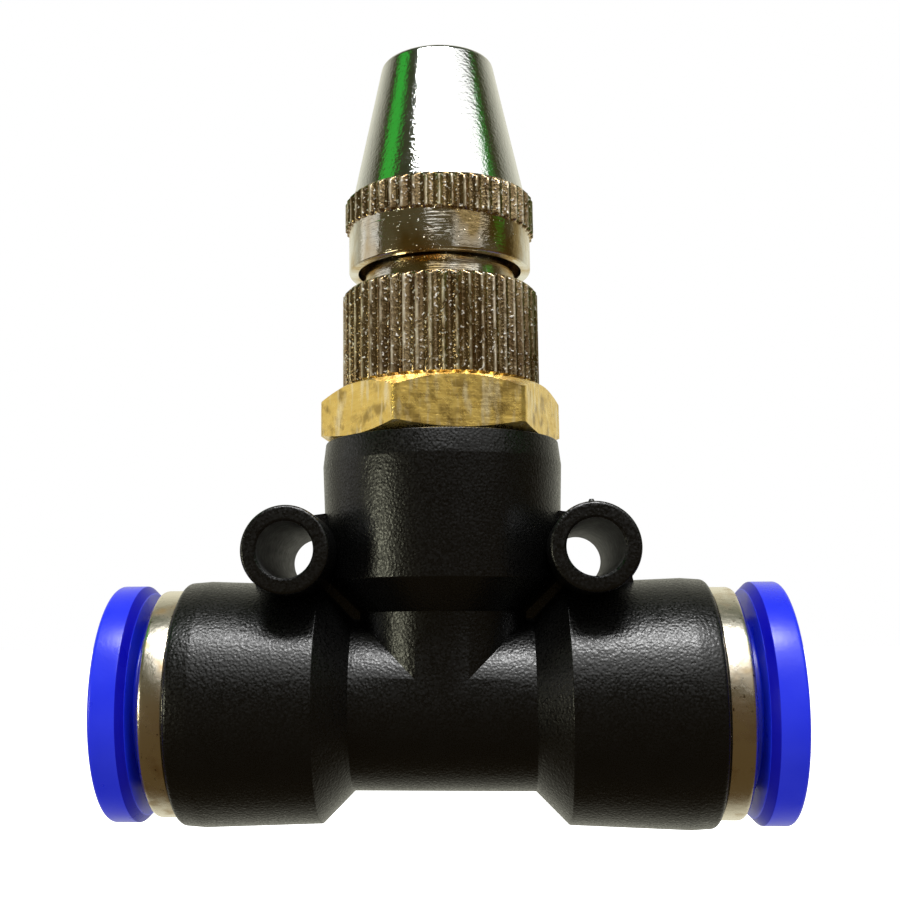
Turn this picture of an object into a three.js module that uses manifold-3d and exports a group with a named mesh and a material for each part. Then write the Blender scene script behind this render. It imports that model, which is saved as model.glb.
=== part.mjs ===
// An 8 mm push-in tee whose branch carries an adjustable spray outlet.
// Millimetres. The run (the two tube ports) lies along X, the branch points up Z and the mounting
// eyes run along Y. The origin is where the run's axis and the branch's axis cross.
import * as THREE from "three";
import { mergeVertices } from "three/addons/utils/BufferGeometryUtils.js";
import Module from "manifold-3d";

const wasm = await Module();
wasm.setup();

// ---- Driving dimensions -------------------------------------------------------------------------
const SEGMENTS = 32; // facets round every turned piece, so neighbours' facets line up
const CLEARANCE = 0.05; // between pieces that are pressed or clipped together

const TUBE_RADIUS = 4; // the ports take 8 mm tube
const PASSAGE_RADIUS = 3;

// Body. Each of the three cups narrows through a 45 degree cone to the middle of the tee.
const MIDDLE_RADIUS = 5.13;
const CONE_START = 5.3;
const CUP_START = 7.15;
const CUP_ROOT_RADIUS = 7;
const CUP_RADIUS = 7.25;
const CUP_END = 15.45;
const EDGE_ROUND = 0.7;
const BRANCH_CUP_END = 15.5;
const BRANCH_MOUTH_RADIUS = 7.08;
const BRANCH_TAPER = 1.4; // height of the taper under the branch cup's mouth
const EYE_ACROSS = 8.56; // eye's axis from the branch axis
const EYE_HEIGHT = 8.7; // eye's axis above the run's axis
const EYE_RADIUS = 2.5;
const EYE_HOLE_RADIUS = 1.6;
const EYE_REACH = 7.5; // half the eye's length, level with the cups or just past them
const WEB_REACH = 11.4; // how far the corner web runs out beside each cup
const WEB_ROOT = 4.5; // where the web starts, inside the middle of the tee
const WEB_THICKNESS = 3;

// Ports, measured outwards from the branch axis.
const TUBE_STOP = 4.2;
const CARTRIDGE_RADIUS = 5.9;
const CARTRIDGE_START = 7.3;
const CARTRIDGE_FILL = CARTRIDGE_RADIUS - CLEARANCE;
const SEAL_END = 9.6;
const SEAL_WALL = 0.7;
const SEAL_CROTCH = 1; // depth of the groove between the seal's wall and its lip
const SPACER_END = 10.9;
const SPACER_BORE_RADIUS = TUBE_RADIUS + 0.15;
const GRAB_RIM_WIDTH = 0.85;
const GRAB_RING_THICKNESS = 0.3;
const GRAB_RING_DISH = 0.4;
const GRAB_TEETH = 10;
const GRAB_SLIT_WIDTH = 0.5;
const SLEEVE_START = 11.9;
const SLEEVE_BORE_RADIUS = 5.42;
const SLEEVE_FLANGE_RADIUS = 6.7;
const SLEEVE_FLANGE_END = 17;
const SLEEVE_EDGE_ROUND = 0.35;
const SLEEVE_LIP_RADIUS = 5.02;
const SLEEVE_LIP_START = 14.4;
const COLLET_BORE_RADIUS = TUBE_RADIUS + 0.1;
const COLLET_TUBE_RADIUS = 4.9;
const COLLET_HOOK_RADIUS = 5.2;
const COLLET_HOOK_LEAD = 0.3;
const COLLET_HOOK_LENGTH = 0.8;
const COLLET_START = 12.3;
const COLLET_SLOT_WIDTH = 0.7;
const COLLET_SLOT_END = 15.2;
const COLLET_FLANGE_RADIUS = 7;
const COLLET_FLANGE_CHAMFER = [0.65, 0.6]; // radially, axially
const COLLET_EDGE_ROUND = 0.25;
const COLLET_LEAD_IN = 0.5;
const COLLET_END = 19.65;
const RELEASE_GAP = 0.6; // the collet's way in before its flange meets the retaining sleeve

// Branch, measured up from the run's axis.
const POCKET_RADIUS = 5.6;
const POCKET_FLOOR = 8.3;
const STUD_RADIUS = 5.5;
const STUD_BOTTOM = 8.5;
const STUD_LEAD = [0.3, 0.4]; // radially, axially
const STUD_O_RING_HEIGHT = 10.4;
const STUD_O_RING_RADIUS = 5.02;
const STUD_O_RING_SECTION = 0.53;
const STUD_GROOVE_RADIUS = 4.45;
const STUD_GROOVE_HALF = STUD_O_RING_SECTION + 0.2;
const CLIP_HEIGHT = 13;
const CLIP_THICKNESS = 0.8;
const CLIP_RADIUS = 5.95;
const CLIP_INNER_RADIUS = 4.98;
const CLIP_OPENING = Math.PI / 12; // half the angle that the clip leaves open
const CLIP_GROOVE_RADIUS = 4.9;
const CLIP_GROOVE_HALF = CLIP_THICKNESS / 2 + 2 * CLEARANCE;
const HEX_FLATS = 13;
const HEX_TURN = 11; // degrees that a flat faces away from the front, towards +X
const HEX_CORNER_RADIUS = 7.4;
const HEX_BOTTOM_DROP = 0.38; // how far the turning takes the corners up from the bottom face
const HEX_TOP_DROP = 0.65;
const HEX_BOTTOM = 15.6;
const HEX_TOP = 18.7;
const THREAD_CLEARANCE = 0.15;
const THREAD_RADIUS = 4.8; // G 1/8, without its threads
const THREAD_TOP = 23.4;
const THREAD_CHAMFER = 0.4;
const GASKET_BORE_RADIUS = 2.2;
const GASKET_THICKNESS = 0.5;

const BASE_RADIUS = 6.05;
const BASE_BOTTOM = HEX_TOP + 0.1;
const BASE_TOP = 24.95;
const SOCKET_ROOF = THREAD_TOP + GASKET_THICKNESS + 2 * CLEARANCE;
const KNURL_RIBS = 48;
const KNURL_DEPTH = 0.24;
const KNURL_CREST = 0.2; // a rib's flat crest, as a share of the pitch
const SHOULDER_RADIUS = 4.65;
const SHOULDER_TOP = 26.9;
const NECK_RADIUS = 4;
const NECK_TOP = 32.3;
const STEM_RADIUS = 3;
const STEM_TOP = 34;
const STEM_BORE_RADIUS = 1.5;
const STEM_PORT_HEIGHT = 33.15;
const STEM_PORT_RADIUS = 0.6;
const BOSS_RADIUS = 2.2; // the boss that grips the needle
const BOSS_TOP = 35.9;
const NEEDLE_RADIUS = 1;
const NEEDLE_TIP_RADIUS = 0.2;
const NEEDLE_BOTTOM = STEM_TOP + 0.2;
const NEEDLE_SHOULDER = 36.7;
const NEEDLE_TIP = 38.5;

const SKIRT_BOTTOM = 26.25;
const SKIRT_RADIUS = 5.65;
const SKIRT_EDGE = 0.15;
const MOUTH_RADIUS = 5.05; // the counterbore that slides over the base's shoulder
const MOUTH_TOP = 28.2;
const BAND_BOTTOM = 28.8;
const BAND_TOP = 30.95;
const BAND_RADIUS = 5.9;
const NOZZLE_TOP = 40;
const NOZZLE_BASE_RADIUS = 5.4;
const NOZZLE_TOP_RADIUS = 3.55; // where the cone meets the round of its top edge
const NOZZLE_EDGE_ROUND = 0.35;
const CHAMBER_BOTTOM = 33.6;
const CHAMBER_RADIUS = 3.7;
const CHAMBER_TOP = 37.5;
const CHAMBER_TOP_RADIUS = 2.6;
const ORIFICE_START = 38.6;
const ORIFICE_RADIUS = 0.75;
const SLEEVE_O_RING_HEIGHT = 29.05;
const SLEEVE_O_RING_RADIUS = 4.505;
const SLEEVE_O_RING_SECTION = 0.46;
const SLEEVE_GROOVE_RADIUS = 5;
const SLEEVE_GROOVE_HALF = SLEEVE_O_RING_SECTION + 0.15;

// ---- Materials ----------------------------------------------------------------------------------
const material = (color, roughness, metalness) =>
  new THREE.MeshStandardMaterial({ color, roughness, metalness });
const BLACK_PLASTIC = material(0x141516, 0.55, 0);
const BLUE_PLASTIC = material(0x2330e0, 0.4, 0);
const GREY_PLASTIC = material(0x8d8f92, 0.5, 0);
const RUBBER = material(0x1b1b1b, 0.8, 0);
const STAINLESS = material(0xb9bcc0, 0.3, 1);
const BRASS = material(0xc8a046, 0.35, 1);
const NICKEL = material(0xc4b79b, 0.3, 1);
const CHROME = material(0xc9cbcb, 0.15, 1);

// ---- Shaping ------------------------------------------------------------------------------------

/** A closed geometry as a manifold-3d solid. */
function solidOf(geometry) {
  const bare = geometry.clone();
  bare.deleteAttribute("normal");
  bare.deleteAttribute("uv");
  const merged = mergeVertices(bare, 1e-4);
  const corners = merged.index.array;
  const triangles = [];
  for (let i = 0; i < corners.length; i += 3) {
    const [a, b, c] = corners.slice(i, i + 3);
    if (a !== b && b !== c && c !== a) triangles.push(a, b, c);
  }
  const vertProperties = merged.getAttribute("position").array;
  const triVerts = new Uint32Array(triangles);
  return new wasm.Manifold(new wasm.Mesh({ numProp: 3, vertProperties, triVerts }));
}

/** A solid as a geometry that a mesh can hold. */
function geometryOf(solid) {
  const { vertProperties, triVerts } = solid.getMesh();
  const geometry = new THREE.BufferGeometry();
  geometry.setAttribute("position", new THREE.BufferAttribute(vertProperties, 3));
  geometry.setIndex(new THREE.BufferAttribute(triVerts, 1));
  geometry.computeVertexNormals();
  return geometry;
}

/** A solid turned about Z from [radius, height] points that go up its outside, from axis to axis. */
function turned(points) {
  const outline = points.map(([radius, height]) => new THREE.Vector2(radius, height));
  return solidOf(new THREE.LatheGeometry(outline, SEGMENTS).rotateX(Math.PI / 2));
}

const rod = (radius, from, to) => turned([[0, from], [radius, from], [radius, to], [0, to]]);

/** A turned solid with a hole right through it; its points go up the outside and down the hole. */
const turnedRing = (points) => turned([...points, points[0]]);

const ring = (inner, outer, from, to) => turnedRing([[inner, from], [outer, from], [outer, to], [inner, to]]);

const oRing = (radius, section, height) =>
  solidOf(new THREE.TorusGeometry(radius, section, 8, SEGMENTS).translate(0, 0, height));

const box = (width, depth, height, x, y, z) =>
  solidOf(new THREE.BoxGeometry(width, depth, height).translate(x, y, z));

/** A flat outline in X and Y, pulled up Z. */
function extruded(shape, from, to) {
  const options = { depth: to - from, bevelEnabled: false, curveSegments: SEGMENTS };
  return solidOf(new THREE.ExtrudeGeometry(shape, options).translate(0, 0, from));
}

/** A bar with straight ribs, each one a trapezoid with a narrow crest. */
function ribbed(radius, from, to) {
  const pitch = (2 * Math.PI) / KNURL_RIBS;
  const points = [];
  for (let rib = 0; rib < KNURL_RIBS; rib += 1) {
    for (const [along, depth] of [[-0.5, KNURL_DEPTH], [-KNURL_CREST / 2, 0], [KNURL_CREST / 2, 0]]) {
      const angle = (rib + along) * pitch;
      const reach = radius - depth;
      points.push(new THREE.Vector2(reach * Math.cos(angle), reach * Math.sin(angle)));
    }
  }
  return extruded(new THREE.Shape(points), from, to);
}

/** Points of a quarter round between an outside and an end face. */
function roundedEdge(radius, end, round, steps) {
  const points = [];
  for (let step = 0; step <= steps; step += 1) {
    const angle = ((step / steps) * Math.PI) / 2;
    points.push([radius - round + round * Math.cos(angle), end - round + round * Math.sin(angle)]);
  }
  return points;
}

const alongX = (solid, side) => solid.rotate([0, side * 90, 0]);
const alongY = (solid) => solid.rotate([90, 0, 0]);

function piece(name, solid, finish) {
  const mesh = new THREE.Mesh(geometryOf(solid), finish);
  mesh.name = name;
  return mesh;
}

// ---- Body ---------------------------------------------------------------------------------------

function runOutside() {
  const half = [
    [MIDDLE_RADIUS, CONE_START],
    [CUP_ROOT_RADIUS, CUP_START],
    ...roundedEdge(CUP_RADIUS, CUP_END, EDGE_ROUND, 3),
    [0, CUP_END],
  ];
  const otherHalf = half.map(([radius, reach]) => [radius, -reach]).reverse();
  return alongX(turned([...otherHalf, ...half]), 1);
}

function branchOutside() {
  return turned([
    [0, 0],
    [MIDDLE_RADIUS, 0],
    [MIDDLE_RADIUS, CONE_START],
    [CUP_ROOT_RADIUS, CUP_START],
    [CUP_RADIUS, BRANCH_CUP_END - BRANCH_TAPER],
    [BRANCH_MOUTH_RADIUS, BRANCH_CUP_END],
    [0, BRANCH_CUP_END],
  ]);
}

/** The flat web that ties an eye to the two cups beside it. */
function eyeWeb(side) {
  const corners = [
    [WEB_ROOT, WEB_ROOT],
    [WEB_REACH, WEB_ROOT],
    [WEB_REACH, CUP_ROOT_RADIUS],
    [EYE_ACROSS + EYE_RADIUS, EYE_HEIGHT],
    [EYE_ACROSS, EYE_HEIGHT + EYE_RADIUS],
    [CUP_ROOT_RADIUS, WEB_REACH],
    [WEB_ROOT, WEB_REACH],
  ];
  const outline = new THREE.Shape(corners.map(([across, up]) => new THREE.Vector2(across, up)));
  const web = alongY(extruded(outline, -WEB_THICKNESS / 2, WEB_THICKNESS / 2));
  return side > 0 ? web : web.rotate([0, 0, 180]);
}

function portBore() {
  return turned([
    [0, -PASSAGE_RADIUS / 2],
    [PASSAGE_RADIUS, -PASSAGE_RADIUS / 2],
    [PASSAGE_RADIUS, TUBE_STOP],
    [TUBE_RADIUS + CLEARANCE, TUBE_STOP],
    [TUBE_RADIUS + CLEARANCE, CARTRIDGE_START],
    [CARTRIDGE_RADIUS, CARTRIDGE_START],
    [CARTRIDGE_RADIUS, CUP_END + 1],
    [0, CUP_END + 1],
  ]);
}

function branchBore() {
  return turned([
    [0, 0],
    [PASSAGE_RADIUS - CLEARANCE, 0],
    [PASSAGE_RADIUS - CLEARANCE, POCKET_FLOOR],
    [POCKET_RADIUS, POCKET_FLOOR],
    [POCKET_RADIUS, CLIP_HEIGHT - CLIP_GROOVE_HALF],
    [CLIP_RADIUS + CLEARANCE, CLIP_HEIGHT - CLIP_GROOVE_HALF],
    [CLIP_RADIUS + CLEARANCE, CLIP_HEIGHT + CLIP_GROOVE_HALF],
    [POCKET_RADIUS, CLIP_HEIGHT + CLIP_GROOVE_HALF],
    [POCKET_RADIUS, BRANCH_CUP_END + 1],
    [0, BRANCH_CUP_END + 1],
  ]);
}

function teeBody() {
  let body = runOutside().add(branchOutside());
  for (const side of [-1, 1]) {
    const eye = alongY(rod(EYE_RADIUS, -EYE_REACH, EYE_REACH));
    body = body.add(eye.translate([side * EYE_ACROSS, 0, EYE_HEIGHT])).add(eyeWeb(side));
  }
  body = body.subtract(branchBore());
  for (const side of [-1, 1]) {
    const hole = alongY(rod(EYE_HOLE_RADIUS, -EYE_REACH - 1, EYE_REACH + 1));
    body = body.subtract(hole.translate([side * EYE_ACROSS, 0, EYE_HEIGHT]));
    body = body.subtract(alongX(portBore(), side));
  }
  return body;
}

// ---- Push-in ports ------------------------------------------------------------------------------

/** A lip seal whose inner lip leans outwards onto the tube. */
function lipSeal() {
  const start = CARTRIDGE_START + CLEARANCE;
  return turnedRing([
    [TUBE_RADIUS + 0.5, start],
    [CARTRIDGE_FILL, start],
    [CARTRIDGE_FILL, SEAL_END],
    [CARTRIDGE_FILL - SEAL_WALL, SEAL_END],
    [TUBE_RADIUS + 0.75, SEAL_END - SEAL_CROTCH],
    [TUBE_RADIUS + 0.3, SEAL_END - 0.2],
    [TUBE_RADIUS - 0.1, SEAL_END - 0.5],
  ]);
}

/** The ring that keeps the seal off the teeth, dished to back them up. */
function spacerRing() {
  return turnedRing([
    [SPACER_BORE_RADIUS, SEAL_END + CLEARANCE],
    [CARTRIDGE_FILL, SEAL_END + CLEARANCE],
    [CARTRIDGE_FILL, SPACER_END],
    [CARTRIDGE_FILL - GRAB_RIM_WIDTH + CLEARANCE, SPACER_END],
    [SPACER_BORE_RADIUS, SPACER_END - GRAB_RING_DISH],
  ]);
}

/** A dished spring-steel washer, slit into teeth that bite the tube. */
function grabRing() {
  const rim = SPACER_END + CLEARANCE;
  const edge = TUBE_RADIUS - 0.05;
  let washer = turnedRing([
    [edge, rim - GRAB_RING_DISH],
    [CARTRIDGE_FILL - GRAB_RIM_WIDTH, rim],
    [CARTRIDGE_FILL, rim],
    [CARTRIDGE_FILL, rim + GRAB_RING_THICKNESS],
    [CARTRIDGE_FILL - GRAB_RIM_WIDTH, rim + GRAB_RING_THICKNESS],
    [edge, rim - GRAB_RING_DISH + GRAB_RING_THICKNESS],
  ]);
  const slitEnd = CARTRIDGE_FILL - GRAB_RIM_WIDTH - CLEARANCE;
  for (let slit = 0; slit < GRAB_TEETH; slit += 1) {
    const cutter = box(slitEnd, GRAB_SLIT_WIDTH, TUBE_RADIUS, slitEnd / 2, 0, rim);
    washer = washer.subtract(cutter.rotate([0, 0, (slit * 360) / GRAB_TEETH]));
  }
  return washer;
}

/** The plated brass sleeve pressed into the cup's mouth; its lip holds the collet in. */
function retainingSleeve() {
  const shoulder = CUP_END + CLEARANCE;
  return turnedRing([
    [SLEEVE_BORE_RADIUS, SLEEVE_START],
    [CARTRIDGE_FILL, SLEEVE_START],
    [CARTRIDGE_FILL, shoulder],
    [SLEEVE_FLANGE_RADIUS, shoulder],
    ...roundedEdge(SLEEVE_FLANGE_RADIUS, SLEEVE_FLANGE_END, SLEEVE_EDGE_ROUND, 2),
    [SLEEVE_LIP_RADIUS, SLEEVE_FLANGE_END],
    [SLEEVE_LIP_RADIUS, SLEEVE_LIP_START],
    [SLEEVE_BORE_RADIUS, SLEEVE_LIP_START],
  ]);
}

/** The release button: a slotted, hooked tube with a flange that a finger pushes. */
function releaseCollet() {
  const [chamferIn, chamferAlong] = COLLET_FLANGE_CHAMFER;
  const flangeBack = SLEEVE_FLANGE_END + RELEASE_GAP;
  const hookEnd = COLLET_START + COLLET_HOOK_LENGTH;
  let collet = turnedRing([
    [COLLET_BORE_RADIUS, COLLET_START],
    [COLLET_TUBE_RADIUS, COLLET_START],
    [COLLET_HOOK_RADIUS, COLLET_START + COLLET_HOOK_LEAD],
    [COLLET_HOOK_RADIUS, hookEnd],
    [COLLET_TUBE_RADIUS, hookEnd],
    [COLLET_TUBE_RADIUS, flangeBack],
    [COLLET_FLANGE_RADIUS - chamferIn, flangeBack],
    [COLLET_FLANGE_RADIUS, flangeBack + chamferAlong],
    ...roundedEdge(COLLET_FLANGE_RADIUS, COLLET_END, COLLET_EDGE_ROUND, 2),
    [COLLET_BORE_RADIUS + COLLET_LEAD_IN, COLLET_END],
    [COLLET_BORE_RADIUS, COLLET_END - COLLET_LEAD_IN],
  ]);
  const across = 2 * COLLET_HOOK_RADIUS + 1;
  const slotLength = COLLET_SLOT_END - COLLET_START + 1;
  for (const turn of [0, 60, 120]) {
    const slots = box(across, COLLET_SLOT_WIDTH, slotLength, 0, 0, COLLET_SLOT_END - slotLength / 2);
    collet = collet.subtract(slots.rotate([0, 0, turn]));
  }
  return collet;
}

function port(side) {
  const name = side > 0 ? "right" : "left";
  const group = new THREE.Group();
  group.rotation.y = (side * Math.PI) / 2;
  group.add(
    piece(name + "_lip_seal", lipSeal(), RUBBER),
    piece(name + "_spacer_ring", spacerRing(), GREY_PLASTIC),
    piece(name + "_grab_ring", grabRing(), STAINLESS),
    piece(name + "_retaining_sleeve", retainingSleeve(), NICKEL),
    piece(name + "_release_collet", releaseCollet(), BLUE_PLASTIC),
  );
  return group;
}

// ---- Branch stud --------------------------------------------------------------------------------

/** A hexagon across its flats, with its corners turned down. */
function hexagon() {
  const corner = HEX_FLATS / Math.sqrt(3);
  const points = [];
  for (let side = 0; side < 6; side += 1) {
    const angle = THREE.MathUtils.degToRad(side * 60 + HEX_TURN);
    points.push(new THREE.Vector2(corner * Math.cos(angle), corner * Math.sin(angle)));
  }
  const flat = HEX_FLATS / 2;
  const blank = turned([
    [0, HEX_BOTTOM],
    [flat, HEX_BOTTOM],
    [HEX_CORNER_RADIUS, HEX_BOTTOM + HEX_BOTTOM_DROP],
    [HEX_CORNER_RADIUS, HEX_TOP - HEX_TOP_DROP],
    [flat, HEX_TOP],
    [0, HEX_TOP],
  ]);
  return extruded(new THREE.Shape(points), HEX_BOTTOM, HEX_TOP).intersect(blank);
}

function branchStud() {
  const [leadIn, leadAlong] = STUD_LEAD;
  const turnedPart = turned([
    [0, STUD_BOTTOM],
    [STUD_RADIUS - leadIn, STUD_BOTTOM],
    [STUD_RADIUS, STUD_BOTTOM + leadAlong],
    [STUD_RADIUS, STUD_O_RING_HEIGHT - STUD_GROOVE_HALF],
    [STUD_GROOVE_RADIUS, STUD_O_RING_HEIGHT - STUD_GROOVE_HALF],
    [STUD_GROOVE_RADIUS, STUD_O_RING_HEIGHT + STUD_GROOVE_HALF],
    [STUD_RADIUS, STUD_O_RING_HEIGHT + STUD_GROOVE_HALF],
    [STUD_RADIUS, CLIP_HEIGHT - CLIP_GROOVE_HALF],
    [CLIP_GROOVE_RADIUS, CLIP_HEIGHT - CLIP_GROOVE_HALF],
    [CLIP_GROOVE_RADIUS, CLIP_HEIGHT + CLIP_GROOVE_HALF],
    [STUD_RADIUS, CLIP_HEIGHT + CLIP_GROOVE_HALF],
    [STUD_RADIUS, HEX_BOTTOM + 1],
    [THREAD_RADIUS, HEX_BOTTOM + 1],
    [THREAD_RADIUS, THREAD_TOP - THREAD_CHAMFER],
    [THREAD_RADIUS - THREAD_CHAMFER, THREAD_TOP],
    [0, THREAD_TOP],
  ]);
  return turnedPart.add(hexagon()).subtract(rod(PASSAGE_RADIUS, 0, THREAD_TOP + 1));
}

/** The open spring clip that keeps the stud in its pocket and lets it swivel. */
function studClip() {
  const outline = new THREE.Shape();
  outline.absarc(0, 0, CLIP_RADIUS, CLIP_OPENING, 2 * Math.PI - CLIP_OPENING, false);
  outline.absarc(0, 0, CLIP_INNER_RADIUS, 2 * Math.PI - CLIP_OPENING, CLIP_OPENING, true);
  return extruded(outline, CLIP_HEIGHT - CLIP_THICKNESS / 2, CLIP_HEIGHT + CLIP_THICKNESS / 2);
}

// ---- Spray outlet -------------------------------------------------------------------------------

/** The flat gasket between the stud's end and the roof of the base's socket. */
function studGasket() {
  const bottom = THREAD_TOP + CLEARANCE;
  return ring(GASKET_BORE_RADIUS, THREAD_RADIUS - 2 * CLEARANCE, bottom, bottom + GASKET_THICKNESS);
}

/** The knurled base, with the neck that carries the sleeve and the boss that carries the needle. */
function nozzleBase() {
  const stemStart = BASE_TOP - 0.5;
  const stem = turned([
    [0, stemStart],
    [SHOULDER_RADIUS, stemStart],
    [SHOULDER_RADIUS, SHOULDER_TOP],
    [NECK_RADIUS, SHOULDER_TOP],
    [NECK_RADIUS, NECK_TOP],
    [STEM_RADIUS, NECK_TOP],
    [STEM_RADIUS, STEM_TOP],
    [BOSS_RADIUS, STEM_TOP],
    [BOSS_RADIUS, BOSS_TOP],
    [0, BOSS_TOP],
  ]);
  const bore = turned([
    [0, BASE_BOTTOM - 1],
    [THREAD_RADIUS + THREAD_CLEARANCE, BASE_BOTTOM - 1],
    [THREAD_RADIUS + THREAD_CLEARANCE, SOCKET_ROOF],
    [STEM_BORE_RADIUS, SOCKET_ROOF],
    [STEM_BORE_RADIUS, STEM_TOP],
    [NEEDLE_RADIUS + CLEARANCE, STEM_TOP],
    [NEEDLE_RADIUS + CLEARANCE, BOSS_TOP + 1],
    [0, BOSS_TOP + 1],
  ]);
  const sidePorts = alongX(rod(STEM_PORT_RADIUS, -NECK_RADIUS, NECK_RADIUS), 1);
  return ribbed(BASE_RADIUS, BASE_BOTTOM, BASE_TOP)
    .add(stem)
    .subtract(bore)
    .subtract(sidePorts.translate([0, 0, STEM_PORT_HEIGHT]));
}

function needle() {
  return turned([
    [0, NEEDLE_BOTTOM],
    [NEEDLE_RADIUS, NEEDLE_BOTTOM],
    [NEEDLE_RADIUS, NEEDLE_SHOULDER],
    [NEEDLE_TIP_RADIUS, NEEDLE_TIP],
    [0, NEEDLE_TIP],
  ]);
}

/** The sleeve that screws up and down the neck: skirt, knurled band and polished cone. */
function spraySleeve() {
  const outside = turned([
    [0, SKIRT_BOTTOM],
    [SKIRT_RADIUS - SKIRT_EDGE, SKIRT_BOTTOM],
    [SKIRT_RADIUS, SKIRT_BOTTOM + SKIRT_EDGE],
    [SKIRT_RADIUS, BAND_BOTTOM + 0.5],
    [NOZZLE_BASE_RADIUS, BAND_TOP],
    ...roundedEdge(NOZZLE_TOP_RADIUS, NOZZLE_TOP, NOZZLE_EDGE_ROUND, 3),
    [0, NOZZLE_TOP],
  ]);
  const slidingRadius = NECK_RADIUS + 2 * THREAD_CLEARANCE;
  const threadRadius = NECK_RADIUS + THREAD_CLEARANCE;
  const inside = turned([
    [0, SKIRT_BOTTOM - 1],
    [MOUTH_RADIUS, SKIRT_BOTTOM - 1],
    [MOUTH_RADIUS, MOUTH_TOP],
    [slidingRadius, MOUTH_TOP],
    [slidingRadius, SLEEVE_O_RING_HEIGHT - SLEEVE_GROOVE_HALF],
    [SLEEVE_GROOVE_RADIUS, SLEEVE_O_RING_HEIGHT - SLEEVE_GROOVE_HALF],
    [SLEEVE_GROOVE_RADIUS, SLEEVE_O_RING_HEIGHT + SLEEVE_GROOVE_HALF],
    [threadRadius, SLEEVE_O_RING_HEIGHT + SLEEVE_GROOVE_HALF],
    [threadRadius, CHAMBER_BOTTOM],
    [CHAMBER_RADIUS, CHAMBER_BOTTOM],
    [CHAMBER_TOP_RADIUS, CHAMBER_TOP],
    [ORIFICE_RADIUS, ORIFICE_START],
    [ORIFICE_RADIUS, NOZZLE_TOP + 1],
    [0, NOZZLE_TOP + 1],
  ]);
  return outside.add(ribbed(BAND_RADIUS, BAND_BOTTOM, BAND_TOP)).subtract(inside);
}

// ---- Assembly -----------------------------------------------------------------------------------

const valve = new THREE.Group();
valve.add(
  piece("tee_body", teeBody(), BLACK_PLASTIC),
  port(-1),
  port(1),
  piece("branch_stud", branchStud(), BRASS),
  piece("stud_o_ring", oRing(STUD_O_RING_RADIUS, STUD_O_RING_SECTION, STUD_O_RING_HEIGHT), RUBBER),
  piece("stud_clip", studClip(), STAINLESS),
  piece("stud_gasket", studGasket(), RUBBER),
  piece("nozzle_base", nozzleBase(), NICKEL),
  piece("needle", needle(), STAINLESS),
  piece("sleeve_o_ring", oRing(SLEEVE_O_RING_RADIUS, SLEEVE_O_RING_SECTION, SLEEVE_O_RING_HEIGHT), RUBBER),
  piece("spray_sleeve", spraySleeve(), CHROME),
);

export default valve;
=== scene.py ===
"""A push-in tee for 8 mm tube with an adjustable spray outlet on its branch, on a white studio set.

Metres, in the frame of the CAD model: the tube ports lie along X, the branch points up Z and the
mounting eyes run along Y. Sizes below are in millimetres and are turned into metres by MM.
"""

import itertools
import math

import bmesh
import bpy
from mathutils import Matrix, Quaternion, Vector


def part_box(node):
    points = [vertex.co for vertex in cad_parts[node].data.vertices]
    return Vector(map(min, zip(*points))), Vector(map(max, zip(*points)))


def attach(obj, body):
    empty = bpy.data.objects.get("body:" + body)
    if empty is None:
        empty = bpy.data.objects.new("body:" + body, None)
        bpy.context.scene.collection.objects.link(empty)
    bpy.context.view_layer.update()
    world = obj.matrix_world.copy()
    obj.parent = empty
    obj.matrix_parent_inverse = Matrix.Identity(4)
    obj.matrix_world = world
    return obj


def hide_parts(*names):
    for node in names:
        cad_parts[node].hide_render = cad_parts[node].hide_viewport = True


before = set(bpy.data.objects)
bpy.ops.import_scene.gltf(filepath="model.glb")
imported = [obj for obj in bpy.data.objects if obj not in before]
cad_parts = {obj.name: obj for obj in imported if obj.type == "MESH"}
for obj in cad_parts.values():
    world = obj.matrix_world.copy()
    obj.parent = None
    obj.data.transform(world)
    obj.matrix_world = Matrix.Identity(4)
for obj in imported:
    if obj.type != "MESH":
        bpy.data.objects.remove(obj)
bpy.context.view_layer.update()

MM = 0.001


def cad_size(node):
    """A CAD node's lowest and highest corners, in millimetres."""
    low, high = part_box(node)
    return low / MM, high / MM


# ---- Sizes, in millimetres ----------------------------------------------------------------------
BODY_LOW, BODY_HIGH = cad_size("tee_body")
STUD_LOW, STUD_HIGH = cad_size("branch_stud")
BASE_LOW, BASE_HIGH = cad_size("nozzle_base")
NOZZLE_LOW, NOZZLE_HIGH = cad_size("spray_sleeve")
CLIP_LOW, CLIP_HIGH = cad_size("stud_clip")

COLUMNS = 192  # facets round a turned piece
FINE_STEPS = 6  # facets round an edge's rounding
RING_FACETS = 24  # facets round an O-ring's section
SHARP_EDGE = 32  # degrees; an edge that turns more than this is shaded as an edge
MOULDED_EDGE = 24  # the same, on the moulded body
NEAR = 0.01  # how near to a size a face counts as lying on it
FIT = 0.05  # clearance between pieces that are pressed or clipped together
PAST = 1  # how far a cutter runs out past the piece that it cuts
WELD = 0.0001  # points nearer to each other than this are joined
SMALL_CHAMFER = 0.2  # at 45 degrees, on the turned ends of bores, necks and stems
THREAD_FIT = 0.15  # clearance over a thread

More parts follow.
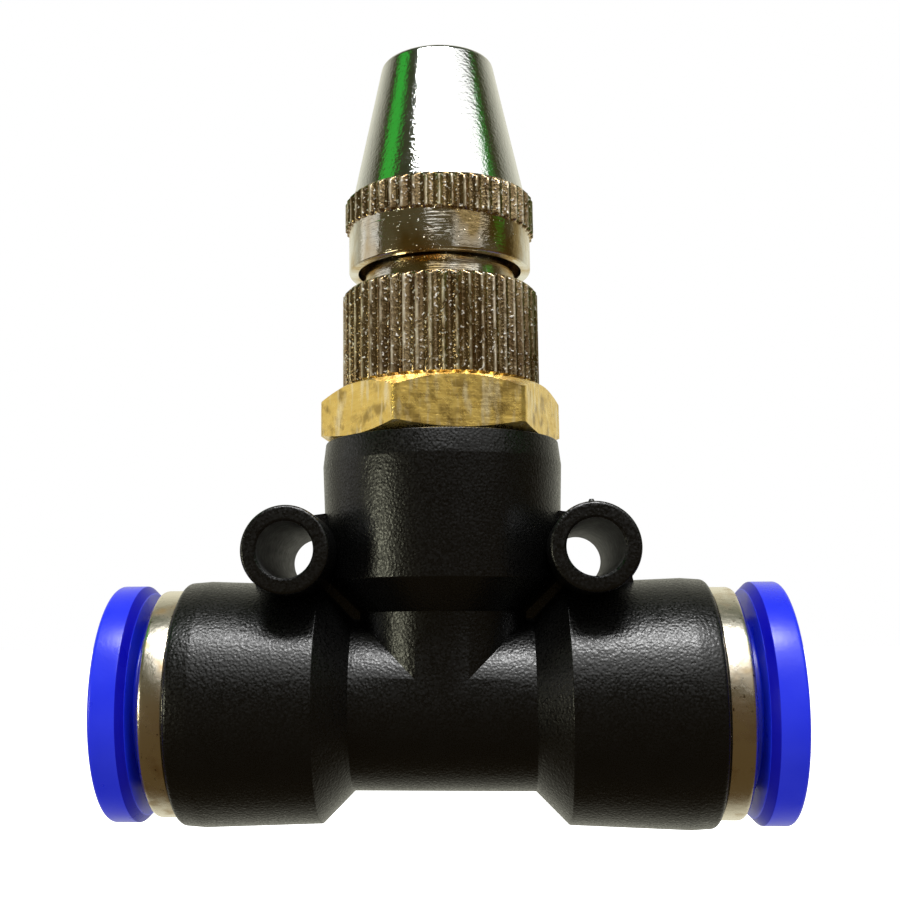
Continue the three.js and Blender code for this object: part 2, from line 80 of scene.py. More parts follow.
CUP_RADIUS = -BODY_LOW.z
CUP_DRAFT = 0.25  # how much narrower a cup is at its root
CUP_ROOT_RADIUS = CUP_RADIUS - CUP_DRAFT
CUP_END = BODY_HIGH.x
CUP_EDGE_ROUND = 0.35
CUP_EDGE_TAPER = 1.4
CUP_EDGE_DROP = 0.1
MIDDLE_RADIUS = 5.13
CONE_START = 5.3
CUP_START = CONE_START + CUP_ROOT_RADIUS - MIDDLE_RADIUS
BRANCH_END = BODY_HIGH.z
BRANCH_TAPER = 1.4
BRANCH_MOUTH_RADIUS = 7.08
EYE_REACH = BODY_HIGH.y
EYE_ACROSS = 8.56
EYE_HEIGHT = 8.7
EYE_RADIUS = 2.5
EYE_HOLE_RADIUS = 1.6
EYE_HOLE_FLARE = 0.12
GATE_NIB = 0.15  # how far the nib that the mould's gate leaves stands out of the right eye
GATE_PLACE = (0.15, 0.5)  # the nib's place: in from the eye's axis, back from the eye's front
WEB_ROOT = 4.5
WEB_REACH = 11.3
WEB_THICKNESS = 3
WEB_BURIED = (0.15, 0.5)  # how deep the web's corners lie inside an eye and inside a cup
PASSAGE_RADIUS = 3

TUBE_RADIUS = 4
TUBE_STOP = 4.2
CARTRIDGE_RADIUS = 5.9
CARTRIDGE_FILL = CARTRIDGE_RADIUS - FIT
CARTRIDGE_START = 7.3
SEAL_WALL = 0.7
SEAL_CROTCH = 1  # depth of the groove between a seal's wall and its lip
SPACER_CLEARANCE = 0.15
SPACER_DISH = 0.4
GRAB_RIM_RADIUS = CARTRIDGE_FILL - 0.85
GRAB_THICKNESS = 0.3
GRAB_TEETH = 10
GRAB_SLIT_WIDTH = 0.5
GRAB_SLIT_END = GRAB_RIM_RADIUS - 0.1
SLEEVE_FLANGE_RADIUS = 6.7
SLEEVE_LIP_RADIUS = 5.02
SLEEVE_BORE_RADIUS = 5.42
SLEEVE_LIP_LENGTH = 2.6
COLLET_BORE_RADIUS = 4.1
COLLET_TUBE_RADIUS = 4.9
COLLET_HOOK_RADIUS = 5.2
COLLET_HOOK_LENGTH = 0.8
COLLET_HOOK_LEAD = 0.3
COLLET_SLOT_LENGTH = 2.9
COLLET_SLOT_WIDTH = 0.7
COLLET_SLOT_TURNS = (0, 60, 120)
COLLET_FLANGE_THICKNESS = 2.05
COLLET_CHAMFER = 0.45
CHAMFER_LEAN = -0.4  # the chamfer's faces look inwards by more than this
CHAMFER_ROUND = 0.04  # how far past the flange's back the rounding before it reaches
COLLET_LEAD_IN = (0.9, 0.7)  # radially, axially

POCKET_RADIUS = 5.6
POCKET_FLOOR = STUD_LOW.z - 0.2
STUD_RADIUS = 5.5
STUD_LEAD = (0.3, 0.4)  # radially, axially
RING_PLAY = 0.2  # between an O-ring and its groove's sides
RING_GROOVE_RADIUS = 4.45
CLIP_GROOVE_RADIUS = 4.9
HEX_FLATS = 13
HEX_TURN = 11
HEX_CORNER_RADIUS = 7.4
HEX_EDGE_RADIUS = HEX_FLATS / 2 - 0.05
HEX_BOTTOM = BRANCH_END + 0.1
HEX_TOP = BASE_LOW.z - 0.1
HEX_BOTTOM_DROP = 0.38  # how far the turning takes the corners up from the bottom face
HEX_TOP_DROP = 0.65
THREAD_RADIUS = 4.8
THREAD_DEPTH = 0.45
THREAD_PITCH = 0.907
THREAD_LEAD = 0.3  # plain length before a thread's first turn
THREAD_ROW = 0.08
GASKET_BORE_RADIUS = 2.2

BASE_RADIUS = BASE_HIGH.x
BASE_TOP = NOZZLE_LOW.z - 1.3
SOCKET_RADIUS = THREAD_RADIUS + THREAD_FIT
SOCKET_ROOF = STUD_HIGH.z + 0.6
SHOULDER_RADIUS = 4.65
SHOULDER_TOP = BASE_TOP + 1.95
NECK_RADIUS = 4
NECK_TOP = 32.3
NECK_THREAD_START = 28.7
NECK_THREAD_DEPTH = 0.5
NECK_THREAD_PITCH = 1
NECK_THREAD_ROW = 0.1
STEM_RADIUS = 3
STEM_TOP = 34
STEM_BORE_RADIUS = 1.5
STEM_PORT_RADIUS = 0.6
BOSS_RADIUS = 2.2
NEEDLE_LOW, NEEDLE_HIGH = cad_size("needle")
NEEDLE_GRIP = 2.5  # length of the needle's straight part
NEEDLE_TIP_RADIUS = 0.2
KNURL_RIBS = 48
KNURL_DEPTH = 0.24
KNURL_CHAMFER = 0.26
KNURL_CREST = 0.1  # a rib's flat crest, as a share of half the pitch
KNURL_ROUND = 1.6  # how round the valleys are; 1 would make them plain vees
KNURL_ROW = 0.4
KNURL_CHAMFER_ROW = 0.05
BAND_KNURL_TURN = 0.03  # how far round the band's ribs stand from the base's, in radians
RIB_COLUMNS = 12  # facets across one knurl rib

SKIRT_RADIUS = 5.65
RING_LOW, RING_HIGH = cad_size("sleeve_o_ring")
SLEEVE_GROOVE_RADIUS = 5
SLEEVE_GROOVE_PLAY = 0.15
MOUTH_RADIUS = 5.05
MOUTH_TOP = NOZZLE_LOW.z + 1.95
BAND_RADIUS = NOZZLE_HIGH.x
BAND_BOTTOM = 28.8
BAND_TOP = 30.95
BAND_SLANT = 0.28  # the rolled band's lower edge dips this far on the +X side
BAND_EDGE = 0.12  # height over which the band rises out of the skirt
BAND_EDGE_REACH = 0.5  # the edge's rows lie this far above and below BAND_BOTTOM
BAND_EDGE_ROW = 0.05
CONE_ROOT_RADIUS = 5.4
CONE_TOP_RADIUS = 3.5
CONE_EDGE_ROUND = 0.38
CHAMBER_BOTTOM = 33.6
CHAMBER_RADIUS = 3.7
CHAMBER_TOP = 37.5
CHAMBER_TOP_RADIUS = 2.6
ORIFICE_START = 38.6
ORIFICE_RADIUS = 0.75
ORIFICE_LEAD = (0.3, 0.35)  # radially, axially


# ---- Mesh making --------------------------------------------------------------------------------

def rounded(points):
    """Outline points (radius, height[, rounding]) with their corners' roundings drawn as arcs."""
    outline = []
    count = len(points)
    for index, point in enumerate(points):
        here = Vector(point[:2])
        rounding = point[2] if len(point) > 2 else 0
        if not rounding:
            outline.append((here.x, here.y))
            continue
        before = (Vector(points[index - 1][:2]) - here).normalized()
        after = (Vector(points[(index + 1) % count][:2]) - here).normalized()
        half = before.angle(after) / 2
        centre = here + (before + after).normalized() * rounding / math.sin(half)
        start = here + before * rounding / math.tan(half) - centre
        end = here + after * rounding / math.tan(half) - centre
        sweep = start.angle_signed(end)
        for step in range(FINE_STEPS + 1):
            spoke = start.copy()
            spoke.rotate(Matrix.Rotation(-sweep * step / FINE_STEPS, 2))
            outline.append((centre.x + spoke.x, centre.y + spoke.y))
    return outline


def mesh_object(name, vertices, faces):
    mesh = bpy.data.meshes.new(name)
    mesh.from_pydata(vertices, [], faces)
    piece = bpy.data.objects.new(name, mesh)
    bpy.context.collection.objects.link(piece)
    return piece


def smooth(piece, sharp_degrees=SHARP_EDGE):
    """Smooth shading that keeps edges sharper than the angle given."""
    work = bmesh.new()
    work.from_mesh(piece.data)
    bmesh.ops.remove_doubles(work, verts=work.verts, dist=WELD * MM)
    bmesh.ops.recalc_face_normals(work, faces=work.faces)
    limit = math.radians(sharp_degrees)
    for face in work.faces:
        face.smooth = True
    for edge in work.edges:
        edge.smooth = not (len(edge.link_faces) == 2 and edge.calc_face_angle() > limit)
    work.to_mesh(piece.data)
    work.free()
    return piece


def turned(name, outline, columns=COLUMNS, axis="Z", side=1, centre=(0, 0, 0)):
    """A piece turned from an outline of (radius, height) points, closed or from axis to axis.

    The outline is a list, or a function of the angle that gives such a list, always of one length.
    The height runs along +axis, or along -axis where side is -1.
    """
    rings = []
    vertices = []
    for column in range(columns):
        angle = 2 * math.pi * column / columns
        ring = outline(angle) if callable(outline) else outline
        rings.append(ring)
        for radius, height in ring:
            vertices.append((radius * math.cos(angle), radius * math.sin(angle), height))
    count = len(rings[0])
    faces = []
    for column in range(columns):
        left = column * count
        right = ((column + 1) % columns) * count
        for row in range(count):
            above = (row + 1) % count
            if rings[column][row][0] or rings[column][above][0]:
                faces.append((left + row, right + row, right + above, left + above))
    piece = mesh_object(name, vertices, faces)
    turn = {"X": Matrix.Rotation(math.pi / 2, 4, "Y"), "Y": Matrix.Rotation(-math.pi / 2, 4, "X")}
    placed = Matrix.Translation(Vector(centre) * MM) @ Matrix.Scale(MM, 4)
    if side < 0:
        placed = placed @ Matrix.Rotation(math.pi, 4, "Z" if axis != "Z" else "X")
    piece.data.transform(placed @ turn.get(axis, Matrix.Identity(4)))
    return smooth(piece)


def combine(piece, other, operation):
    """Joins another mesh to a piece or cuts it away, and deletes the other."""
    tool = piece.modifiers.new(operation, "BOOLEAN")
    tool.operation = operation
    tool.solver = "EXACT"
    tool.object = other
    with bpy.context.temp_override(object=piece, active_object=piece, selected_objects=[piece]):
        bpy.ops.object.modifier_apply(modifier=tool.name)
    bpy.data.objects.remove(other)


def box_object(name, low, high):
    corners = [Vector(corner) * MM for corner in itertools.product(*zip(low, high))]
    faces = [(0, 1, 3, 2), (4, 6, 7, 5), (0, 4, 5, 1), (2, 3, 7, 6), (0, 2, 6, 4), (1, 5, 7, 3)]
    return mesh_object(name, corners, faces)


def steps(low, high, gap):
    """Heights from low to high, evenly spaced and no more than a gap apart."""
    count = max(1, math.ceil((high - low) / gap))
    return [low + (high - low) * index / count for index in range(count + 1)]


def finish(piece, material, body, slot, *nodes):
    """Gives a piece its material and its body, and hides the CAD nodes it stands for. The slot is not
    used.
    """
    piece.data.materials.clear()
    piece.data.materials.append(material)
    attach(piece, body)
    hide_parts(*nodes)


# ---- Materials ----------------------------------------------------------------------------------

class Surface:
    """A material made node by node. Sizes of its patterns are in millimetres."""

    def __init__(self, name):
        self.material = bpy.data.materials.new(name)
        self.material.use_nodes = True
        self.nodes = self.material.node_tree.nodes
        self.links = self.material.node_tree.links
        self.shader = self.nodes["Principled BSDF"]
        self.place = self.nodes.new("ShaderNodeTexCoord").outputs["Object"]

    def set(self, **values):
        for name, value in values.items():
            self.shader.inputs[name.replace("_", " ")].default_value = value
        return self

    def noise(self, size, detail=2.0, stretch=(1, 1, 1)):
        """Noise whose blotches are about the size given."""
        mapping = self.nodes.new("ShaderNodeMapping")
        mapping.inputs["Scale"].default_value = stretch
        self.links.new(self.place, mapping.inputs["Vector"])
        texture = self.nodes.new("ShaderNodeTexNoise")
        texture.inputs["Scale"].default_value = 1 / (size * MM)
        texture.inputs["Detail"].default_value = detail
        self.links.new(mapping.outputs["Vector"], texture.inputs["Vector"])
        return texture.outputs["Fac"]

    def cells(self, size):
        """Smoothed distance to the nearest of scattered points about a size apart."""
        texture = self.nodes.new("ShaderNodeTexVoronoi")
        texture.feature = "SMOOTH_F1"
        texture.inputs["Scale"].default_value = 1 / (size * MM)
        self.links.new(self.place, texture.inputs["Vector"])
        return texture.outputs["Distance"]

    def axis_distance(self):
        """Distance from the branch's axis, in millimetres."""
        flat = self.nodes.new("ShaderNodeVectorMath")
        flat.operation = "MULTIPLY"
        flat.inputs[1].default_value = (1 / MM, 1 / MM, 0)
        self.links.new(self.place, flat.inputs[0])
        length = self.nodes.new("ShaderNodeVectorMath")
        length.operation = "LENGTH"
        self.links.new(flat.outputs["Vector"], length.inputs[0])
        return length.outputs["Value"]

    def ramp(self, source, low, high, start=0.0, end=1.0):
        """A number that goes from start to end as the source goes from low to high."""
        remap = self.nodes.new("ShaderNodeMapRange")
        for name, value in (("From Min", low), ("From Max", high), ("To Min", start), ("To Max", end)):
            remap.inputs[name].default_value = value
        self.links.new(source, remap.inputs["Value"])
        return remap.outputs["Result"]

    def math(self, operation, first, second):
        node = self.nodes.new("ShaderNodeMath")
        node.operation = operation
        self.links.new(first, node.inputs[0])
        self.links.new(second, node.inputs[1])
        return node.outputs["Value"]

    def colours(self, factor, first, second):
        """Goes from the first colour to the second with the factor."""
        mix = self.nodes.new("ShaderNodeMix")
        mix.data_type = "RGBA"
        self.links.new(factor, mix.inputs["Factor"])
        for socket, value in ((mix.inputs["A"], first), (mix.inputs["B"], second)):
            if isinstance(value, tuple):
                socket.default_value = (*value, 1)
            else:
                self.links.new(value, socket)
        return mix.outputs["Result"]

    def colour(self, source):
        self.links.new(source, self.shader.inputs["Base Color"])
        return self

    def roughness(self, source):
        self.links.new(source, self.shader.inputs["Roughness"])
        return self

    def bump(self, height, depth):
        """Relief of about a depth, laid over any relief that is there already."""
        node = self.nodes.new("ShaderNodeBump")
        node.inputs["Distance"].default_value = depth * MM
        self.links.new(height, node.inputs["Height"])
        normal = self.shader.inputs["Normal"]
        if normal.links:
            self.links.new(normal.links[0].from_socket, node.inputs["Normal"])
        self.links.new(node.outputs["Normal"], normal)
        return self


def black_plastic():
    """Glass-filled black plastic with a fine spark-eroded grain."""
    surface = Surface("black_plastic").set(Specular_IOR_Level=0.5)
    blotches = surface.noise(1.6, 3)
    surface.colour(surface.colours(blotches, (0.0006, 0.0006, 0.0006), (0.0018, 0.0018, 0.0017)))
    surface.roughness(surface.ramp(surface.noise(0.12, 2), 0.35, 0.65, 0.22, 0.42))
    surface.bump(surface.cells(0.15), 0.02)
    surface.bump(surface.noise(0.6, 2), 0.008)
    return surface.material


def hole_plastic():
    """The same plastic where a core pin left it dull, inside the mounting eyes."""
    surface = Surface("hole_plastic").set(Specular_IOR_Level=0.5)
    surface.colour(surface.colours(surface.noise(0.6, 3), (0.006, 0.006, 0.006), (0.016, 0.016, 0.016)))
    surface.roughness(surface.ramp(surface.noise(0.4, 2), 0.3, 0.7, 0.55, 0.7))
    surface.bump(surface.noise(0.15, 2), 0.02)
    return surface.material


def blue_plastic(name, dark, light, gloss):
    """Smooth blue acetal, a little translucent."""
    surface = Surface(name).set(
        Specular_IOR_Level=gloss,
        Subsurface_Weight=0.15,
        Subsurface_Radius=(0.2 * MM, 0.3 * MM, 1.2 * MM),
        Subsurface_Scale=1.0,
    )
    blotches = surface.noise(2.5, 3)
    surface.colour(surface.colours(blotches, dark, light))
    surface.roughness(surface.ramp(blotches, 0.3, 0.7, 0.26, 0.34))
    surface.bump(surface.noise(0.25, 3), 0.006)
    return surface.material


def plain_plastic(name, dark, light, roughness):
    surface = Surface(name)
    blotches = surface.noise(1.2, 3)
    surface.colour(surface.colours(blotches, dark, light))
    surface.roughness(surface.ramp(blotches, 0.3, 0.7, roughness - 0.05, roughness + 0.05))
    surface.bump(surface.noise(0.2, 2), 0.006)
    return surface.material


def nickel():
    """Nickel plate with brown tarnish and a few small pits."""
    surface = Surface("nickel_plate").set(Metallic=1.0)
    tarnish = surface.ramp(surface.noise(1.4, 4), 0.5, 0.72)
    pits = surface.ramp(surface.noise(0.25, 2), 0.68, 0.74)
    plate = surface.colours(tarnish, (0.95, 0.88, 0.74), (0.6, 0.44, 0.24))
    surface.colour(surface.colours(pits, plate, (0.16, 0.1, 0.05)))
    surface.roughness(surface.ramp(tarnish, 0, 1, 0.24, 0.4))
    surface.bump(surface.noise(0.3, 3), 0.012)
    return surface.material


def knurled_nickel(name, radius):
    """Plating over a rolled knurl of a radius: crests painted pale as a painted highlight, hollows
    painted dark brown as painted shade, and bright specks.
    """
    surface = Surface(name).set(Metallic=1.0)
    # Painted highlight on the outermost crests and painted shade in the hollows, chosen by distance from
    # the axis and broken up by noise
    outermost = surface.ramp(surface.axis_distance(), radius - 0.09, radius - 0.01)
    crest_highlight_breakup = surface.ramp(surface.noise(0.4, 3, (1, 1, 0.5)), 0.36, 0.6, 0.1, 0.85)
    crest_highlight = surface.math("MULTIPLY", outermost, crest_highlight_breakup)
    patches = surface.ramp(surface.noise(1.3, 3, (1, 1, 0.35)), 0.42, 0.6)
    shaded_hollow_colours = surface.colours(patches, (0.52, 0.39, 0.21), (0.3, 0.2, 0.1))
    lit_crest_colours = surface.colours(patches, (0.9, 0.84, 0.7), (0.7, 0.58, 0.4))
    grains = surface.noise(0.19, 3)
    specks = surface.ramp(grains, 0.61, 0.66)
    plate = surface.colours(crest_highlight, shaded_hollow_colours, lit_crest_colours)
    surface.colour(surface.colours(specks, plate, (0.97, 0.95, 0.9)))
    surface.roughness(surface.ramp(surface.math("MAXIMUM", crest_highlight, specks), 0, 1, 0.2, 0.5))
    surface.bump(grains, 0.035)
    surface.bump(surface.noise(0.45, 2), 0.014)
    return surface.material


def worn_nickel():
    """The skirt's plating: turned marks round it, brown where it has worn thin, a few specks."""
    surface = Surface("worn_nickel").set(Metallic=1.0)
    brown = surface.ramp(surface.noise(2.6, 3, (1, 1, 0.6)), 0.44, 0.62)
    specks = surface.ramp(surface.noise(0.16, 2), 0.7, 0.76)
    lines = surface.noise(0.1, 2, (0.06, 0.06, 1))
    plate = surface.colours(brown, (0.9, 0.87, 0.78), (0.6, 0.44, 0.2))
    surface.colour(surface.colours(specks, plate, (0.92, 0.9, 0.86)))
    surface.roughness(surface.ramp(specks, 0, 1, 0.14, 0.32))
    surface.bump(lines, 0.014)
    surface.bump(surface.noise(0.35, 3), 0.016)
    surface.bump(specks, 0.012)
    return surface.material


def chrome():
    """Bright chrome, smooth to the touch but finely pebbled."""
    surface = Surface("chrome_plate").set(Metallic=1.0)
    haze = surface.noise(0.5, 4)
    surface.colour(surface.colours(haze, (0.78, 0.79, 0.78), (0.88, 0.88, 0.87)))
    surface.roughness(surface.ramp(haze, 0.3, 0.7, 0.06, 0.12))
    surface.bump(surface.noise(0.2, 3), 0.018)
    return surface.material


def brass():
    """Bare machined brass with mill lines across its flats, rubbed streaks and dull stains."""
    surface = Surface("brass").set(Metallic=0.9)
    stains = surface.ramp(surface.noise(1.1, 4), 0.5, 0.64)
    lines = surface.noise(0.13, 3, (0.12, 0.12, 1))
    streaks = surface.ramp(surface.noise(0.45, 3, (1, 1, 0.2)), 0.52, 0.7)
    metal = surface.colours(lines, (0.84, 0.55, 0.11), (1.0, 0.75, 0.23))
    stained = surface.colours(stains, metal, (0.46, 0.31, 0.08))
    surface.colour(surface.colours(streaks, stained, (0.98, 0.8, 0.42)))
    surface.roughness(surface.ramp(surface.noise(0.8, 3), 0.3, 0.7, 0.2, 0.4))
    surface.bump(lines, 0.012)
    surface.bump(surface.noise(0.5, 3), 0.04)
    return surface.material


def stainless():
    surface = Surface("stainless").set(Metallic=1.0)
    grain = surface.noise(0.2, 3)
    surface.colour(surface.colours(grain, (0.5, 0.5, 0.5), (0.66, 0.66, 0.66)))
    surface.roughness(surface.ramp(grain, 0.3, 0.7, 0.22, 0.36))
    surface.bump(grain, 0.004)
    return surface.material


BLACK = black_plastic()
HOLE_BLACK = hole_plastic()
BLUE = blue_plastic("blue_plastic", (0.003, 0.011, 0.44), (0.005, 0.017, 0.54), 0.5)
# A darker, less glossy copy of the blue: painted shade for the chamfer at the back of the collet's flange
BLUE_PAINTED_SHADE = blue_plastic("blue_chamfer_painted_shade", (0.001, 0.001, 0.2), (0.002, 0.002, 0.28), 0.1)
GREY = plain_plastic("grey_plastic", (0.3, 0.31, 0.32), (0.36, 0.37, 0.38), 0.45)
RUBBER = plain_plastic("seal_rubber", (0.012, 0.012, 0.012), (0.022, 0.022, 0.022), 0.62)
NICKEL = nickel()
BASE_KNURL = knurled_nickel("base_knurl", BASE_RADIUS)
BAND_KNURL = knurled_nickel("band_knurl", BAND_RADIUS)
SKIRT_PLATE = worn_nickel()
CHROME = chrome()
BRASS = brass()
STEEL = stainless()


# ---- Body ---------------------------------------------------------------------------------------

def body_outsides():
    half = [
        (MIDDLE_RADIUS, CONE_START),
        (CUP_ROOT_RADIUS, CUP_START, 0.12),
        (CUP_RADIUS, CUP_END - CUP_EDGE_TAPER, 0.5),
        (CUP_RADIUS - CUP_EDGE_DROP, CUP_END, CUP_EDGE_ROUND),
        (0, CUP_END),
    ]
    other_half = [(radius, -reach, *rest) for radius, reach, *rest in reversed(half)]
    run = turned("run", rounded(other_half + half), axis="X")
    branch = turned("branch", rounded([
        (0, 0),
        (MIDDLE_RADIUS, 0),
        (MIDDLE_RADIUS, CONE_START),
        (CUP_ROOT_RADIUS, CUP_START, 0.12),
        (CUP_RADIUS, BRANCH_END - BRANCH_TAPER, 0.6),
        (BRANCH_MOUTH_RADIUS, BRANCH_END, 0.08),
        (0, BRANCH_END),
    ]))
    half_facet = math.pi / COLUMNS  # keeps the branch's edges off the run's where they would coincide
    branch.data.transform(Matrix.Rotation(half_facet, 4, "Z"))
    return run, branch


def eye_outside(side):
    outline = rounded([
        (0, -EYE_REACH),
        (EYE_RADIUS, -EYE_REACH, 0.2),
        (EYE_RADIUS, EYE_REACH, 0.2),
        (0, EYE_REACH),
    ])
    return turned("eye", outline, columns=96, axis="Y", centre=(side * EYE_ACROSS, 0, EYE_HEIGHT))


def eye_web(side):
    """The flat web that ties an eye to the two cups beside it."""
    in_eye, in_cup = WEB_BURIED
    inside = EYE_RADIUS - in_eye
    outline = [
        (WEB_ROOT, WEB_ROOT),
        (WEB_REACH, WEB_ROOT),
        (WEB_REACH, CUP_ROOT_RADIUS - in_cup),
        (EYE_ACROSS + inside, EYE_HEIGHT),
        (EYE_ACROSS, EYE_HEIGHT + inside),
        (CUP_ROOT_RADIUS - in_cup, WEB_REACH),
        (WEB_ROOT, WEB_REACH),
    ]
    count = len(outline)
    half = WEB_THICKNESS / 2
    vertices = [Vector((side * x, y, z)) * MM for y in (-half, half) for x, z in outline]
    faces = [tuple(range(count)), tuple(range(2 * count - 1, count - 1, -1))]
    for index in range(count):
        after = (index + 1) % count
        faces.append((index, index + count, after + count, after))
    return smooth(mesh_object("web", vertices, faces))


def eye_hole(side):
    flare = EYE_HOLE_FLARE
    far = EYE_REACH + PAST
    outline = [
        (0, -far),
        (EYE_HOLE_RADIUS + flare, -far),
        (EYE_HOLE_RADIUS + flare, -EYE_REACH),
        (EYE_HOLE_RADIUS, -EYE_REACH + flare),
        (EYE_HOLE_RADIUS, EYE_REACH - flare),
        (EYE_HOLE_RADIUS + flare, EYE_REACH),
        (EYE_HOLE_RADIUS + flare, far),
        (0, far),
    ]
    return turned("hole", outline, columns=96, axis="Y", centre=(side * EYE_ACROSS, 0, EYE_HEIGHT))


def run_bore():
    half = [
        (PASSAGE_RADIUS, TUBE_STOP),
        (TUBE_RADIUS + FIT, TUBE_STOP),
        (TUBE_RADIUS + FIT, CARTRIDGE_START),
        (CARTRIDGE_RADIUS, CARTRIDGE_START),
        (CARTRIDGE_RADIUS, CUP_END + PAST),
        (0, CUP_END + PAST),
    ]
    other_half = [(radius, -reach) for radius, reach in reversed(half)]
    return turned("bore", other_half + half, axis="X")


def branch_bore():
    groove_radius = CLIP_HIGH.y + FIT
    outline = [
        (0, 0),
        (PASSAGE_RADIUS - FIT, 0),
        (PASSAGE_RADIUS - FIT, POCKET_FLOOR),
        (POCKET_RADIUS, POCKET_FLOOR),
        (POCKET_RADIUS, CLIP_LOW.z - 2 * FIT),
        (groove_radius, CLIP_LOW.z - 2 * FIT),
        (groove_radius, CLIP_HIGH.z + 2 * FIT),
        (POCKET_RADIUS, CLIP_HIGH.z + 2 * FIT),
        (POCKET_RADIUS, BRANCH_END + PAST),
        (0, BRANCH_END + PAST),
    ]
    return turned("bore", outline)


def gate_mark():
    """The nib that the mould's gate leaves on top of the right eye."""
    outline = [(0, -0.2), (0.28, -0.2), (0.12, GATE_NIB - 0.02), (0, GATE_NIB)]
    inwards, back = GATE_PLACE
    place = (EYE_ACROSS - inwards, back - EYE_REACH, EYE_HEIGHT + EYE_RADIUS)
    return turned("gate", outline, columns=16, centre=place)


def tee_body():
    body, branch = body_outsides()
    body.name = "body_moulding"
    combine(body, branch, "UNION")
    for side in (-1, 1):
        combine(body, eye_web(side), "UNION")
        combine(body, eye_outside(side), "UNION")
    combine(body, gate_mark(), "UNION")
    for cutter in (branch_bore(), run_bore(), eye_hole(-1), eye_hole(1)):
        combine(body, cutter, "DIFFERENCE")
    smooth(body, MOULDED_EDGE)
    finish(body, BLACK, "tee", "black_plastic", "tee_body")
    body.data.materials.append(HOLE_BLACK)
    for face in body.data.polygons:
        across = abs(face.center.x) / MM - EYE_ACROSS
        up = face.center.z / MM - EYE_HEIGHT
        if math.hypot(across, up) < EYE_HOLE_RADIUS + NEAR:
            face.material_index = 1


# ---- Push-in ports ------------------------------------------------------------------------------

def port_reach(node):
    """How near to and how far from the branch axis a piece of a port reaches."""
    low, high = cad_size(node)
    near, far = sorted((abs(low.x), abs(high.x)))
    return near, far


def lip_seal(name, side):
    low, high = port_reach(name + "_lip_seal")
    return turned(name + "_seal", rounded([
        (TUBE_RADIUS + 0.5, low),
        (CARTRIDGE_FILL, low, 0.15),
        (CARTRIDGE_FILL, high, 0.1),
        (CARTRIDGE_FILL - SEAL_WALL, high, 0.1),
        (TUBE_RADIUS + 0.75, high - SEAL_CROTCH, 0.2),
        (TUBE_RADIUS + 0.3, high - 0.2, 0.1),
        (TUBE_RADIUS - 0.1, high - 0.5, 0.1),
    ]), axis="X", side=side)


def spacer_ring(name, side):
    low, high = port_reach(name + "_spacer_ring")
    bore = TUBE_RADIUS + SPACER_CLEARANCE
    return turned(name + "_spacer", rounded([
        (bore, low, 0.1),
        (CARTRIDGE_FILL, low),
        (CARTRIDGE_FILL, high),
        (GRAB_RIM_RADIUS + FIT, high, 0.1),
        (bore, high - SPACER_DISH, 0.1),
    ]), axis="X", side=side)


def grab_ring(name, side):
    """A dished washer whose inside is slit into teeth."""
    low, high = port_reach(name + "_grab_ring")
    rim = high - GRAB_THICKNESS
    tooth_radius = TUBE_RADIUS - FIT
    slit_half = GRAB_SLIT_WIDTH / 2

    def outline(angle):
        along = (angle * GRAB_TEETH / (2 * math.pi)) % 1
        off = min(along, 1 - along) * 2 * math.pi / GRAB_TEETH * tooth_radius
        reach = GRAB_SLIT_END if off < slit_half else tooth_radius
        drop = (rim - low) * (GRAB_RIM_RADIUS - reach) / (GRAB_RIM_RADIUS - tooth_radius)
        return [
            (reach, rim - drop),
            (GRAB_RIM_RADIUS, rim),
            (CARTRIDGE_FILL, rim),
            (CARTRIDGE_FILL, high),
            (GRAB_RIM_RADIUS, high),
            (reach, high - drop),
        ]

    return turned(name + "_teeth", outline, columns=360, axis="X", side=side)


def retaining_sleeve(name, side):
    low, high = port_reach(name + "_retaining_sleeve")
    shoulder = CUP_END + FIT
    return turned(name + "_sleeve", rounded([
        (SLEEVE_BORE_RADIUS, low),
        (CARTRIDGE_FILL, low, 0.2),
        (CARTRIDGE_FILL, shoulder),
        (SLEEVE_FLANGE_RADIUS, shoulder, 0.12),
        (SLEEVE_FLANGE_RADIUS, high, 0.35),
        (SLEEVE_LIP_RADIUS, high, 0.15),
        (SLEEVE_LIP_RADIUS, high - SLEEVE_LIP_LENGTH),
        (SLEEVE_BORE_RADIUS, high - SLEEVE_LIP_LENGTH),
    ]), axis="X", side=side)


def release_collet(name, side):
    low, high = port_reach(name + "_release_collet")
    radius = cad_size(name + "_release_collet")[1].z
    flange_back = high - COLLET_FLANGE_THICKNESS
    hook_end = low + COLLET_HOOK_LENGTH
    lead_out, lead_in = COLLET_LEAD_IN
    collet = turned(name + "_collet", rounded([
        (COLLET_BORE_RADIUS, low),
        (COLLET_TUBE_RADIUS, low),
        (COLLET_HOOK_RADIUS, low + COLLET_HOOK_LEAD),
        (COLLET_HOOK_RADIUS, hook_end),
        (COLLET_TUBE_RADIUS, hook_end),
        (COLLET_TUBE_RADIUS, flange_back, 0.15),
        (radius - COLLET_CHAMFER, flange_back, 0.12),
        (radius, flange_back + COLLET_CHAMFER, 0.15),
        (radius, high, 0.26),
        (COLLET_BORE_RADIUS + lead_out, high, 0.25),
        (COLLET_BORE_RADIUS, high - lead_in, 0.3),
    ]), axis="X", side=side)
    across = COLLET_HOOK_RADIUS + PAST
    half = COLLET_SLOT_WIDTH / 2
    start, end = sorted((side * (low - PAST), side * (low + COLLET_SLOT_LENGTH)))
    for turn in COLLET_SLOT_TURNS:
        slots = box_object("slots", (start, -across, -half), (end, across, half))
        slots.data.transform(Matrix.Rotation(math.radians(turn), 4, "X"))
        combine(collet, slots, "DIFFERENCE")
    return smooth(collet)


def paint_chamfer_shade(collet, side, back):
    """Gives the chamfer at the back of a collet's flange a darker blue, as painted shade."""
    collet.data.materials.append(BLUE_PAINTED_SHADE)
    for face in collet.data.polygons:
        past = abs(face.center.x) / MM - back
        if face.normal.x * side < CHAMFER_LEAN and CHAMFER_ROUND < past < COLLET_CHAMFER + 2 * NEAR:
            face.material_index = 1


